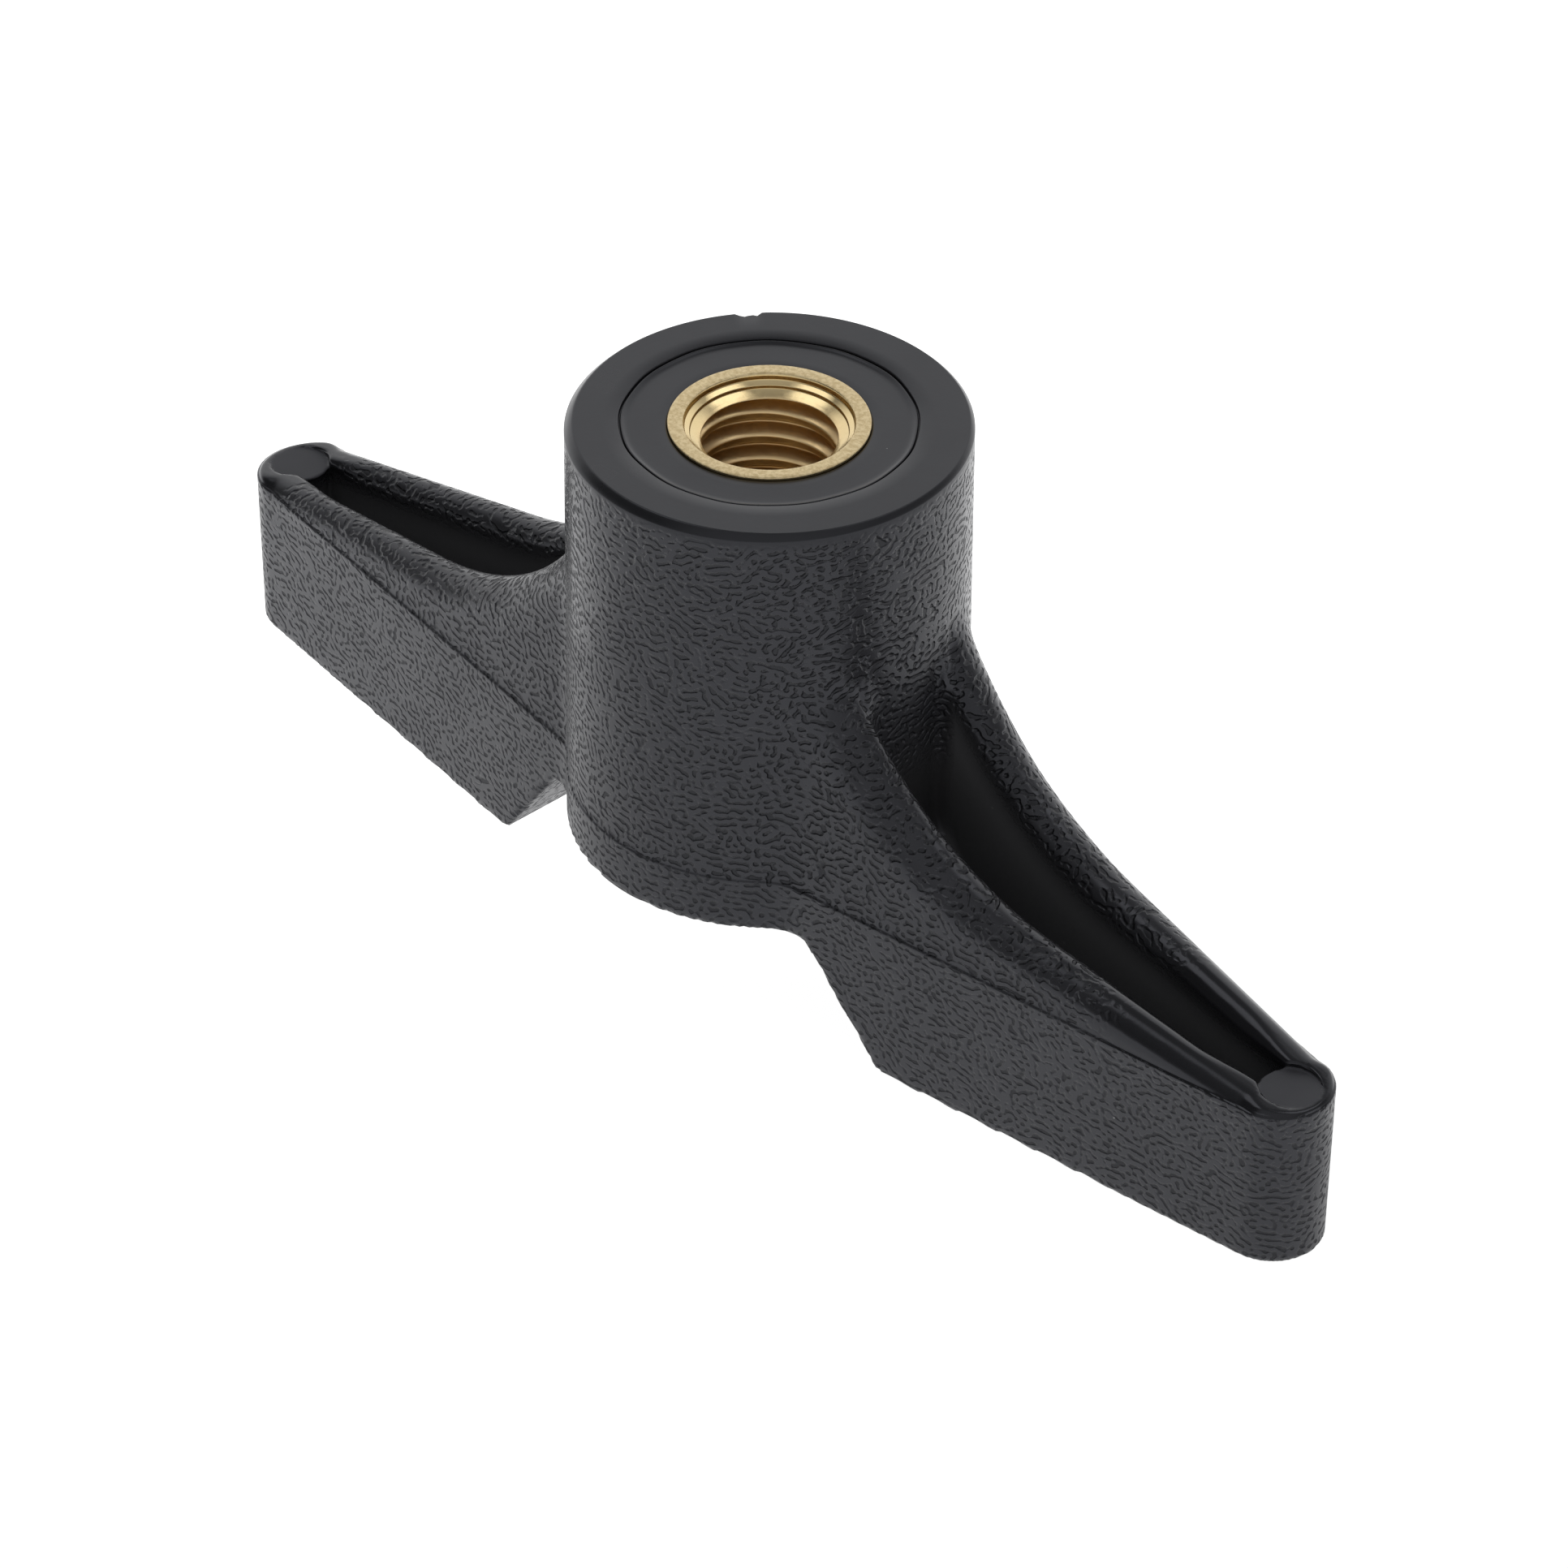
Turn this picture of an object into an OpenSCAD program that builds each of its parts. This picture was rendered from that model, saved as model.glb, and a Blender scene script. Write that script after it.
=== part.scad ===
// Moulded wing nut with a brass threaded insert, lying with its bearing face up.
// Millimetres. The origin is the centre of the bearing face, on the thread axis.
// +Z points out of the threaded mouth, and X runs along the wings.

/* [Boss] */
// Diameter of the boss just below the bearing face
boss_d = 14.64; // [14:0.02:15.6]
// Growth of the boss diameter from the bearing face to its far end
boss_draft = 0.16; // [0:0.02:0.4]
// Height of the boss
boss_h = 17.1; // [16.5:0.1:18]
// Chamfer round the bearing face
boss_chamfer = 0.2; // [0.1:0.02:0.4]
// Diameter of the witness ring on the bearing face
witness_d = 10.54; // [10:0.02:11.4]
// Depth of the face inside the witness ring
witness_recess = 0.12; // [0.05:0.01:0.3]
// Width of the groove along the witness ring
witness_groove_w = 0.17; // [0.1:0.01:0.4]
// Depth of that groove below the bearing face
witness_groove_depth = 0.25; // [0.2:0.01:0.5]

/* [Wings] */
// Overall span of the two wings
span = 55.8; // [52:0.2:60]
// Depth of the wings' flat lower edges below the bearing face
wing_depth = 21.5; // [20.5:0.1:23]
// Half thickness that the tapering wing would have on the thread axis
wing_half_t = 5.5; // [5.2:0.05:5.8]
// Angle of each wing face to the length of the wing
wing_taper = 7.6; // [7.2:0.1:7.8]
// Fillet in plan between boss and wing
wing_fillet = 2.1; // [1.2:0.1:2.6]
// Slope of the outer stretch of the wing's rim
rim_slope = 8.8; // [7:0.1:10]
// Radius of the hollow curve that carries the rim up the boss
rim_sweep_r = 13.3; // [12.5:0.1:14]
// Distance from the axis at which that curve starts
rim_sweep_x = 16.2; // [15.6:0.1:16.8]
// Distance from the axis at which the slanted lower end of the wing meets the boss bottom
slant_top_x = 6.7; // [6.2:0.1:7.2]
// Distance from the axis at which it meets the wing's lower edge
slant_low_x = 10.1; // [9:0.1:11]

/* [Pockets] */
// Half width that the tapering pocket would have on the thread axis
pocket_half_w = 2.25; // [2:0.05:2.5]
// Narrowing of the pocket's half width per millimetre of wing
pocket_narrowing = 0.06; // [0.05:0.005:0.065]
// Thickness of the floor under the pocket
floor_t = 1.8; // [1.2:0.1:3]
// Diameter of the ejector pad in the wing tip
pad_d = 2.23; // [1.8:0.01:2.4]
// Distance of the pad from the thread axis
pad_x = 26.45; // [26.2:0.05:26.6]

/* [Parting line] */
// Depth of the parting line below the bearing face
parting_depth = 15; // [14.8:0.1:15.4]
// Step at the parting line
parting_step = 0.08; // [0.04:0.01:0.15]

/* [Insert] */
// Major diameter of the thread
thread_d = 6; // [6:0.5:6]
// Pitch of the thread
thread_pitch = 1; // [1:0.25:1]
// Depth of full thread
thread_depth = 10.5; // [8:0.5:10.5]
// Diameter of the insert's collar, seen in the bearing face
collar_d = 7.3; // [7:0.05:7.6]
// Length of the collar
collar_l = 0.9; // [0.5:0.1:1.5]
// Diameter over the knurl
knurl_d = 8.6; // [8.2:0.1:9.4]
// Number of knurl teeth
knurl_teeth = 28; // [20:2:36]
// Depth of the knurl
knurl_depth = 0.35; // [0.2:0.05:0.5]
// Diameter at the bottom of the retention groove
retention_d = 7.4; // [7:0.1:7.8]
// Width of the retention groove
retention_w = 1.6; // [1:0.1:2.5]
// Length of the insert
insert_l = 13; // [13:0.5:14]
// Diameter of the countersink at the mouth
mouth_d = 6.15; // [6:0.05:6.3]

/* [Hidden] */
eps = 0.02;
boss_r = boss_d / 2;
boss_low_r = boss_r + boss_draft / 2;
wing_slope = tan(wing_taper);
// the tip arc is tangent to both wing faces and ends at half the span
tip_x = (span / 2 - wing_half_t * cos(wing_taper)) / (1 - sin(wing_taper));
tip_r = (wing_half_t - wing_slope * tip_x) * cos(wing_taper);
// centre of the fillet between the boss and the wing face at y < 0
fillet_k = wing_half_t + wing_fillet / cos(wing_taper);
fillet_a = 1 + pow(wing_slope, 2);
fillet_c = pow(fillet_k, 2) - pow(boss_low_r + wing_fillet, 2);
fillet_x = (wing_slope * fillet_k + sqrt(pow(wing_slope * fillet_k, 2) - fillet_a * fillet_c)) / fillet_a;
fillet_y = wing_slope * fillet_x - fillet_k;
fillet_end_x = fillet_x - wing_fillet * sin(wing_taper);
// rim line and the centre of the curve that carries it up the boss
rim_tip_z = -parting_depth + 0.05;
rim_start_z = rim_tip_z + (span / 2 - rim_sweep_x) * tan(rim_slope);
sweep_x = rim_sweep_x + rim_sweep_r * sin(rim_slope);
sweep_z = rim_start_z + rim_sweep_r * cos(rim_slope);
rim_top_z = -6.2;
// half thickness of a wall at its rim, the pocket's half width and the middle of the wall, at distance x
wall_root_half = 1.15;
wall_thinning = 0.017;
function wall_half(x) = wall_root_half - wall_thinning * x;
function pocket_half(x) = pocket_half_w - pocket_narrowing * x;
function wall_mid(x) = pocket_half(x) + wall_half(x);
function rim_z(x) =
    x >= rim_sweep_x ? rim_tip_z + (span / 2 - x) * tan(rim_slope)
    : min(rim_top_z, sweep_z - sqrt(max(0, pow(rim_sweep_r, 2) - pow(sweep_x - x, 2))));
// extra width of the wing where the fillet spreads it into the boss
function flare(x) =
    x >= fillet_end_x ? 0 : -fillet_y - sqrt(pow(wing_fillet, 2) - pow(x - fillet_x, 2))
    - (wing_half_t - wing_slope * x);
// the basic profile of an ISO metric thread cuts 5/8 of the sharp height on each side
minor_d = thread_d - 2 * 5 / 8 * sin(60) * thread_pitch;
drill_depth = thread_depth + 0.8;
// round sides: large and small features
round_fn = 96;
pad_fn = 48;
// more than the width of the object, for cuts that go right through
through = 20;

// Points of an arc about c from angle a to angle b, in n steps
function arc(c, r, a, b, n) = [for (i = [0:n]) c + r * [cos(a + (b - a) * i / n), sin(a + (b - a) * i / n)]];

// Outline of one wing in plan, with its root inside the boss and its fillets
wing_root = [3, -4.5];
fillet_from = 130;
function wing_side() = concat(
    [wing_root],
    arc([fillet_x, fillet_y], wing_fillet, fillet_from, 90 + wing_taper, 5),
    arc([tip_x, 0], tip_r, -90 + wing_taper, 0, 8)
);

module wing_plan() {
    side = wing_side();
    polygon(concat(side, [for (i = [len(side) - 2:-1:0]) [side[i][0], -side[i][1]]]));
}

// Lower half of one wing, below the parting line, with its slanted inner end
module wing_lower() {
    difference() {
        translate([0, 0, -wing_depth])
            linear_extrude(wing_depth - parting_depth)
                wing_plan();
        rotate([90, 0, 0])
            linear_extrude(through, center = true)
                polygon([
                    [-1, -wing_depth - 1],
                    [slant_low_x, -wing_depth - 1],
                    [slant_low_x, -wing_depth],
                    [slant_top_x, -boss_h],
                    [-1, -boss_h]
                ]);
    }
}

// One section of a wing wall: half the thickness outwards, a round rim, and the pocket side.
// mid is where the middle of the wall is, out is the unit vector away from the pocket.
function wall_section(mid, out, half, foot, top_z) = let (
        shoulder_z = top_z - half,
        low_z = -parting_depth - 1,
        outer = min(half, foot)
    ) concat(
        [concat(mid + out * foot, low_z)],
        shoulder_z > -parting_depth + 0.1 ? [concat(mid + out * foot, -parting_depth)]
            : [concat(mid + out * foot, (low_z - parting_depth) / 2)],
        [for (i = [0:6]) concat(mid + out * (i < 3 ? outer : half) * cos(i * 30), shoulder_z + half * sin(i * 30))],
        [concat(mid - out * half, low_z)]
    );

// Stations along one wall, from inside the boss to the start of the tip
wall_xs = [5.4, 5.8, 6.15, 6.5, 6.9, 7.4, 8, 8.8, 9.8, 11, 12.5, 14.2, 16, 19, 22];

function straight_sections(side) = [
    for (x = wall_xs) wall_section(
        [x, side * wall_mid(x)], [0, side], wall_half(x),
        wing_half_t - wing_slope * x + flare(x) - parting_step - wall_mid(x), rim_z(x)
    )
];

function tip_sections() = [
    for (a = [-75:25:75]) let (m = wall_mid(tip_x), out = [cos(a), sin(a)], mid = [tip_x, 0] + m * out)
        wall_section(mid, out, wall_half(tip_x), tip_r - parting_step - m, rim_z(mid[0]))
];

function reversed(list) = [for (i = [len(list) - 1:-1:0]) list[i]];

// Upper part of the walls of one wing: one section swept out along a wall, round the tip and back
module wing_walls() {
    rings = concat(straight_sections(-1), tip_sections(), reversed(straight_sections(1)));
    m = len(rings[0]);
    n = len(rings);
    polyhedron(
        points = [for (ring = rings, p = ring) p],
        faces = concat(
            [[for (j = [m - 1:-1:0]) j]],
            [for (i = [0:n - 2], j = [0:m - 1]) [i * m + j, i * m + (j + 1) % m, (i + 1) * m + j]],
            [for (i = [0:n - 2], j = [0:m - 1])
                [(i + 1) * m + j, i * m + (j + 1) % m, (i + 1) * m + (j + 1) % m]],
            [[for (j = [0:m - 1]) (n - 1) * m + j]]
        ),
        convexity = 6
    );
}

// The hollow between the walls of one wing, from the boss to the pad.
// Its floor and its slanted end stay one floor thickness inside the outer surface.
module pocket() {
    lip = 0.07;
    start_x = 4;
    end_x = pad_x - 0.5;
    slant_run = (slant_low_x - slant_top_x) / (wing_depth - boss_h);
    inset_x = slant_low_x + floor_t * sqrt(1 + pow(slant_run, 2));
    floor_z = -wing_depth + floor_t;
    difference() {
        intersection() {
            translate([0, 0, -wing_depth])
                linear_extrude(2 * wing_depth)
                    polygon([
                        [start_x, -pocket_half(start_x) - lip],
                        [end_x, -pocket_half(end_x) - lip],
                        [end_x, pocket_half(end_x) + lip],
                        [start_x, pocket_half(start_x) + lip]
                    ]);
            rotate([90, 0, 0])
                linear_extrude(through, center = true)
                    polygon([
                        [span / 2, floor_z],
                        [inset_x - floor_t * slant_run, floor_z],
                        [start_x, -wing_depth + (inset_x - start_x) / slant_run],
                        [start_x, 1],
                        [span / 2, 1]
                    ]);
        }
        translate([pad_x, 0, -wing_depth])
            cylinder(d = pad_d, h = wing_depth * 2, $fn = pad_fn);
    }
}

// The boss before anything is cut in it
module boss_blank() {
    rotate_extrude($fn = round_fn)
        polygon([
            [0, -boss_h],
            [boss_low_r, -boss_h],
            [boss_r, -boss_chamfer],
            [boss_r - boss_chamfer, 0],
            [0, 0]
        ]);
}

module witness_ring() {
    translate([0, 0, -witness_recess])
        cylinder(d = witness_d - 2 * witness_groove_w, h = 1, $fn = round_fn);
    difference() {
        translate([0, 0, -witness_groove_depth])
            cylinder(d = witness_d, h = 1, $fn = round_fn);
        translate([0, 0, -1])
            cylinder(d = witness_d - 2 * witness_groove_w, h = 3, $fn = round_fn);
    }
}

module wing() {
    difference() {
        union() {
            wing_lower();
            wing_walls();
        }
        pocket();
        translate([pad_x, 0, -parting_depth + 0.1])
            cylinder(d = pad_d, h = 2, $fn = pad_fn);
    }
}

module knurl_band(z, h) {
    r = knurl_d / 2;
    translate([0, 0, z])
        linear_extrude(h)
            polygon([
                for (i = [0:2 * knurl_teeth - 1])
                    (r - (i % 2) * knurl_depth) * [cos(i * 180 / knurl_teeth), sin(i * 180 / knurl_teeth)]
            ]);
}

// The outside of the insert: collar, two knurled bands and the groove between them
module insert_outside() {
    band_l = (insert_l - collar_l - retention_w - 0.8) / 2;
    translate([0, 0, -collar_l - eps])
        cylinder(d = collar_d, h = collar_l + eps, $fn = round_fn);
    knurl_band(-collar_l - band_l, band_l);
    translate([0, 0, -collar_l - band_l - retention_w - eps])
        cylinder(d = retention_d, h = retention_w + 2 * eps, $fn = round_fn);
    knurl_band(-collar_l - 2 * band_l - retention_w, band_l);
    translate([0, 0, -insert_l])
        cylinder(r1 = retention_d / 2 - 0.6, r2 = retention_d / 2, h = 0.8 + eps, $fn = round_fn);
}

module wing_body() {
    color("#26282b")
        difference() {
            union() {
                boss_blank();
                wing();
                mirror([1, 0, 0]) wing();
            }
            witness_ring();
            insert_outside();
            translate([0, 0, -collar_l])
                cylinder(d = collar_d, h = collar_l + 1, $fn = round_fn);
        }
}

module threaded_insert() {
    mouth_l = (mouth_d - minor_d) / 2;
    point_r = 0.2;
    point_h = (minor_d / 2 - point_r) * tan(30);
    color("#c9a860")
        difference() {
            insert_outside();
            translate([0, 0, -drill_depth])
                cylinder(d = minor_d, h = drill_depth + 1, $fn = round_fn);
            translate([0, 0, -drill_depth - point_h])
                cylinder(r1 = point_r, r2 = minor_d / 2, h = point_h + eps, $fn = round_fn);
            translate([0, 0, -mouth_l])
                cylinder(r1 = minor_d / 2, r2 = mouth_d / 2 + eps, h = mouth_l + eps, $fn = round_fn);
        }
}

wing_body();
threaded_insert();
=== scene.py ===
import math

import bmesh
import bpy
import numpy as np
from mathutils import Matrix, Vector


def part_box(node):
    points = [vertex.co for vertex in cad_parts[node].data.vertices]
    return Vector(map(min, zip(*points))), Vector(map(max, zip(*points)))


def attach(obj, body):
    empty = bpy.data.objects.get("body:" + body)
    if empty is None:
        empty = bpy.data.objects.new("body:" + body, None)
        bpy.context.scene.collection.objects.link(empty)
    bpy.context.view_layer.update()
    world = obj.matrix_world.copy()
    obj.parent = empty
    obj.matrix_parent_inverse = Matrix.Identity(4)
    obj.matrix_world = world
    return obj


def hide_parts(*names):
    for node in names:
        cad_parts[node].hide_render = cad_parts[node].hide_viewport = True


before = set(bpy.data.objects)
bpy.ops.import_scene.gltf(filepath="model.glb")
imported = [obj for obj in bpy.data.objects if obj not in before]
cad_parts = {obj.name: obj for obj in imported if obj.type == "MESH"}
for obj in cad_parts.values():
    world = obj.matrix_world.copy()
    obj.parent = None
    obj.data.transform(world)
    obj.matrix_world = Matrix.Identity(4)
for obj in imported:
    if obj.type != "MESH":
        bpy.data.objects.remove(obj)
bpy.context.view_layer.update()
MM = 0.001

# Lengths below are millimetres in the row frame: +Z is the thread's axis, z = 0 the bearing face.
BODY_LOW, BODY_HIGH = (np.array(c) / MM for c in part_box("wing_body"))
INSERT_LOW = np.array(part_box("threaded_insert")[0]) / MM
HALF_SPAN = float(BODY_HIGH[0])
FLOOR_Z = float(BODY_LOW[2])
INSERT_END = float(INSERT_LOW[2])

# Boss: radii above and below the parting line, its lower end, and the taper per millimetre of height
BOSS_TOP_R = 7.32
BOSS_LOW_R = 7.40
BOSS_END = -17.1
BOSS_DRAFT = 0.0015
# Rounding of every lower edge of the body
LOWER_EDGE = 0.1
# Wing in plan: taper of each face, tip, draft below and lean above the parting line, fillet at the boss
TAPER = math.radians(7.6)
TIP_R = 2.03
TIP_X = HALF_SPAN - TIP_R
LOWER_DRAFT = 0.10 / 6.5
UPPER_LEAN = math.tan(math.radians(4.5))
FILLET = 2.1
# Rim line and the sweep that starts at SWEEP_X and rises to the boss
RIM_SLOPE = math.radians(8.8)
RIM_TIP_Z = -14.95
SWEEP_R = 13.3
SWEEP_X = 16.2
# Half the width between the crests of the rims: at the axis, its loss per millimetre, and its least value
CREST_HALF = 3.25
CREST_TAPER = 0.0768
CREST_LEAST = 0.5
# Radii of the rims' edges, outside and inside: at the axis, loss per millimetre, and loss at the tip
OUTER_ROUND = 1.45
OUTER_ROUND_FALL = 0.031
OUTER_ROUND_LIMITS = (0.6, 1.3)
INNER_ROUND = 1.15
INNER_ROUND_FALL = 0.0168
TIP_ROUND_LOSS = 0.45
# |x| over which the loss at the tip sets in
OUTER_TIP_FROM = (25.8, 26.8)
INNER_TIP_FROM = (23.0, 25.6)
# The outside edge is also tighter right at the boss
BOSS_SIDE_ROUND = 0.85
BOSS_SIDE_ROUND_RISE = 0.09
BOSS_SIDE_X = 7.3
# Fillets where the wing meets the boss: everywhere, at the rim and inside the pocket
LEAST_JOIN = 0.01
RIM_JOIN = 0.22
POCKET_JOIN = 0.6
# Heights against the rim, and distances out from the pocket's wall, over which these fillets change
RIM_JOIN_FROM = (-0.9, -0.2)
POCKET_JOIN_TO = (0.1, 0.5)
# Lower slanted end, as (X, z) of its top and bottom, and the wall between it and the pocket
SLANT_TOP = (6.7, -17.1)
SLANT_LOW = (10.1, FLOOR_Z)
SLANT_WALL = 1.8
# Pocket: half width at the axis, its loss per millimetre, floor, and the rounding of its lower edges
POCKET_HALF = 2.25
POCKET_NARROWING = 0.06
POCKET_FLOOR = FLOOR_Z + 1.8
POCKET_FLOOR_ROUND = 0.4
POCKET_SIDE_ROUND = 0.5
# Ejector pads
PAD_X = 26.45
PAD_R = 1.115
PAD_Z = -14.9
PAD_CLEARANCE = 0.02
PAD_EDGE = 0.06
# Parting step, spread over PARTING_BLEND to both sides of its height
PARTING_Z = -15.0
PARTING_STEP = 0.08
PARTING_BLEND = 0.03
# Height at which the meshed lower part meets the turned upper part
SEAM_Z = -4.0
# Mesh cells: coarse ones, and fine ones beyond FINE_X or within RIM_HALF_Y of the middle plane
CELL = 0.235
FINE_CELL = 0.107
FINE_X = 24.5
RIM_HALF_Y = 2.65
GRID_HALF_Y = 8.25
GRID_MARGIN = 0.3
GRID_MARGIN_BELOW = 0.45
# Layers of the mesh at the parting step, and how far to both sides they replace the coarse ones
STEP_LAYERS = (-0.15, -0.07, -0.035, 0.0, 0.035, 0.07, 0.15)
STEP_REACH = 0.17
# Layers above the pads, and the least distance between any two layers
PAD_LAYERS = (0.04, 0.1)
LAYER_GAP = 0.02
# Closer vertices than this, in metres, become one
MERGE_DISTANCE = 2e-7
DEGENERATE_DISTANCE = 1e-7


# ---------------------------------------------------------------- distance fields
def smooth(x, a, b):
    """0 up to a, 1 from b on, and an S-shaped rise between them."""
    t = np.clip((x - a) / (b - a), 0.0, 1.0)
    return t * t * (3.0 - 2.0 * t)


def both(a, b, r):
    """Intersection of two distance fields with an edge rounded to r."""
    u = np.maximum(a + r, 0.0)
    v = np.maximum(b + r, 0.0)
    return np.minimum(-r, np.maximum(a, b)) + np.hypot(u, v)


def either(a, b, r):
    """Union of two distance fields with a fillet of r."""
    u = np.maximum(r - a, 0.0)
    v = np.maximum(r - b, 0.0)
    return np.maximum(r, np.minimum(a, b)) - np.hypot(u, v)


def above_parting(z):
    return smooth(z, PARTING_Z - PARTING_BLEND, PARTING_Z + PARTING_BLEND)


def boss_radius(z):
    taper = BOSS_DRAFT * np.maximum(-z, 0.0)
    return BOSS_LOW_R + (BOSS_TOP_R + taper - BOSS_LOW_R) * above_parting(z)


def wing_inset(z):
    """How far the draft and the upper half's lean bring the wing faces in at a height."""
    below = np.maximum(PARTING_Z - z, 0.0)
    above = np.maximum(z - PARTING_Z, 0.0)
    return LOWER_DRAFT * below + UPPER_LEAN * above + PARTING_STEP * above_parting(z)


def flank_field(X, Y, z):
    """One wing in plan with its rounded tip and the fillet that joins it to the boss."""
    along = (math.cos(TAPER), -math.sin(TAPER))
    across = (math.sin(TAPER), math.cos(TAPER))
    dx = X - TIP_X
    inset = wing_inset(z)
    u = dx * along[0] + Y * along[1]
    flat = dx * across[0] + Y * across[1]
    wing = np.where(u > 0.0, np.hypot(dx, Y), flat) - TIP_R + inset
    # centre of the fillet: one fillet radius off the boss and off the wing face
    off = TIP_X * across[0] + TIP_R - inset + FILLET
    reach = boss_radius(z) + FILLET
    run = np.sqrt(reach ** 2 - off ** 2)
    cx = across[0] * off + along[0] * run
    cy = across[1] * off + along[1] * run
    gx = X - cx
    gy = Y - cy
    past_boss = (-cx * gy + cy * gx) > 0.0
    before_wing = (-gx * across[1] + gy * across[0]) > 0.0
    hollow = FILLET - np.hypot(gx, gy)
    return np.where(past_boss & before_wing, np.minimum(wing, hollow), wing)


def sweep_centre():
    """Centre (X, z) of the sweep's arc, and the rim line's height where the sweep starts."""
    z0 = RIM_TIP_Z + (HALF_SPAN - SWEEP_X) * math.tan(RIM_SLOPE)
    return SWEEP_X + SWEEP_R * math.sin(RIM_SLOPE), z0 + SWEEP_R * math.cos(RIM_SLOPE), z0


def crest_y(X):
    return np.maximum(CREST_HALF - CREST_TAPER * X, CREST_LEAST)


def rim_field(X, Y, z):
    """Above the rim is outside: a sloped line, then a hollow sweep up to the boss.
    Near the boss the sweep turns with it, so a point's distance from the axis counts."""
    crest = crest_y(X)
    X = np.hypot(X, Y) - (np.hypot(X, crest) - X)
    cx, cz, z0 = sweep_centre()
    t = (X - SWEEP_X) * math.cos(RIM_SLOPE) - (z - z0) * math.sin(RIM_SLOPE)
    line = (X - SWEEP_X) * math.sin(RIM_SLOPE) + (z - z0) * math.cos(RIM_SLOPE)
    arc = SWEEP_R - np.hypot(X - cx, z - cz)
    upright = X - (cx - SWEEP_R)
    swept = np.where(z > cz, upright, arc)
    return np.where(t > 0.0, line, swept)


def slant_field(X, z):
    """Distance past the slanted end, towards the boss."""
    dx = SLANT_LOW[0] - SLANT_TOP[0]
    dz = SLANT_LOW[1] - SLANT_TOP[1]
    n = math.hypot(dx, dz)
    return ((X - SLANT_TOP[0]) * dz - (z - SLANT_TOP[1]) * dx) / n


def pocket_wall(X, Y):
    """Distance outside the pocket's side wall; negative inside the pocket."""
    return (Y - POCKET_HALF + POCKET_NARROWING * X) * math.cos(POCKET_NARROWING)


def lower_field(X, z):
    """Below the object: the boss's end, the slanted ends of the wings and their flat lower edges."""
    return np.maximum(FLOOR_Z - z, np.minimum(BOSS_END - z, slant_field(X, z)))


def pad_field(X, Y):
    """Distance outside a pad's edge in plan."""
    return np.hypot(X - PAD_X, Y) - PAD_R


def wing_field(X, Y, z):
    """One hollow wing: its shell less the pocket, with the pad's column in the tip."""
    at_boss = BOSS_SIDE_ROUND + BOSS_SIDE_ROUND_RISE * (X - BOSS_SIDE_X)
    outer_round = np.clip(np.minimum(OUTER_ROUND - OUTER_ROUND_FALL * X, at_boss), *OUTER_ROUND_LIMITS)
    outer_round = outer_round - TIP_ROUND_LOSS * smooth(X, *OUTER_TIP_FROM)
    inner_round = INNER_ROUND - INNER_ROUND_FALL * X - TIP_ROUND_LOSS * smooth(X, *INNER_TIP_FROM)
    shell = both(flank_field(X, Y, z), rim_field(X, Y, z), outer_round)
    pad = pad_field(X, Y)
    hollow = both(POCKET_FLOOR - z, slant_field(X, z) + SLANT_WALL, POCKET_FLOOR_ROUND)
    hollow = both(pocket_wall(X, Y), hollow, POCKET_SIDE_ROUND)
    hollow = np.maximum(hollow, X - PAD_X)
    wall = both(shell, -hollow, inner_round)
    column = np.maximum(np.maximum(pad, z - PAD_Z), FLOOR_Z + LOWER_EDGE - z)
    recess = np.maximum(pad - PAD_CLEARANCE, PAD_Z - z)
    wall = both(wall, -recess, PAD_EDGE)
    return np.minimum(wall, column)


def body_field(x, y, z):
    """The whole body, symmetric in x and y; negative inside."""
    X = np.abs(x)
    Y = np.abs(y)
    boss = np.hypot(X, Y) - boss_radius(z)
    wing = wing_field(X, Y, z)
    at_rim = smooth(rim_field(X, Y, z), *RIM_JOIN_FROM)
    in_pocket = 1.0 - smooth(pocket_wall(X, Y), *POCKET_JOIN_TO)
    d = either(boss, wing, LEAST_JOIN + np.maximum(RIM_JOIN * at_rim, POCKET_JOIN * in_pocket))
    return both(d, lower_field(X, z), LOWER_EDGE)


# ---------------------------------------------------------------- surface nets
def grid_lines():
    """Fine cells at the tips, over the rims and at the parting step, coarse ones elsewhere."""
    xs = [np.arange(-HALF_SPAN - GRID_MARGIN, -FINE_X, FINE_CELL), np.arange(-FINE_X, 0.0, CELL)]
    xs = np.concatenate(xs)
    xs = np.concatenate([xs, [0.0], -xs[::-1]])
    ys = [np.arange(-GRID_HALF_Y, -RIM_HALF_Y - 0.05, CELL), np.arange(-RIM_HALF_Y, 0.0, FINE_CELL)]
    ys = np.concatenate(ys)
    ys = np.concatenate([ys, [0.0], -ys[::-1]])
    coarse = np.arange(FLOOR_Z - GRID_MARGIN_BELOW, SEAM_Z + 0.5 * CELL, CELL)
    away = np.abs(coarse - PARTING_Z) > STEP_REACH
    fine = PARTING_Z + np.array(STEP_LAYERS)
    pads = PAD_Z + np.array(PAD_LAYERS)
    zs = np.unique(np.round(np.concatenate([coarse[away], fine, pads]), 4))
    keep = np.concatenate([[True], np.diff(zs) > LAYER_GAP])
    return xs, ys, zs[keep]


def axis_cuts(f, axis):
    """For each grid edge along an axis: is it cut, where along it, and is its start inside."""
    n = f.shape[axis]
    a = np.take(f, range(0, n - 1), axis)
    b = np.take(f, range(1, n), axis)
    cut = (a < 0.0) != (b < 0.0)
    t = np.where(cut, a / np.where(cut, a - b, 1.0), 0.0)
    return cut, t, a < 0.0


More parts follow.
